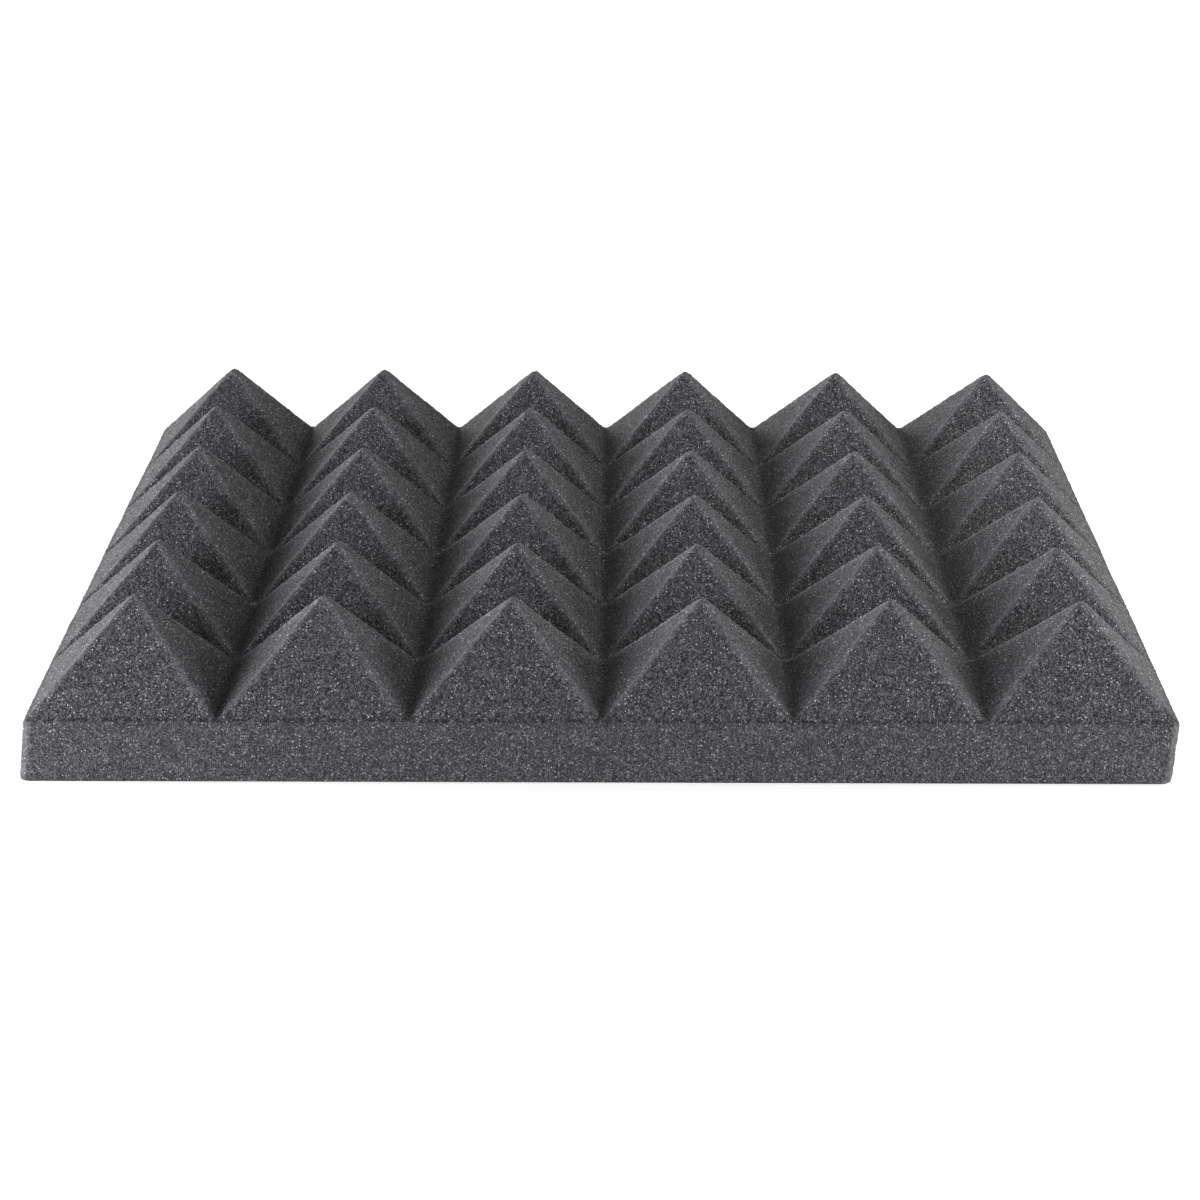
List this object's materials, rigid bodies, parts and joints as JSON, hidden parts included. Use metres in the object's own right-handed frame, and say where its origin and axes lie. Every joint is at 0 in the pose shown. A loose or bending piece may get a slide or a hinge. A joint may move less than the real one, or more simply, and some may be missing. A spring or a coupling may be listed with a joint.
{
  "type": "acoustic foam panel",
  "caption": "Square charcoal foam wall tile: a flat slab with a grid of square pyramids that absorb and break up sound in a studio or rehearsal room.",
  "frame": {"origin": "centre of the flat back, which lies on the plane z = 0", "axes": "+Z out of the wall, from the flat back to the pyramid tips; X and Y along the tile's two equal sides, with +Y away from the picture's camera"},
  "size_m": [0.3, 0.3, 0.0431],
  "materials": {
    "foam": "matte"
  },
  "bodies": {
    "root": {"foam_panel": "foam"}
  },
  "joints": []
}
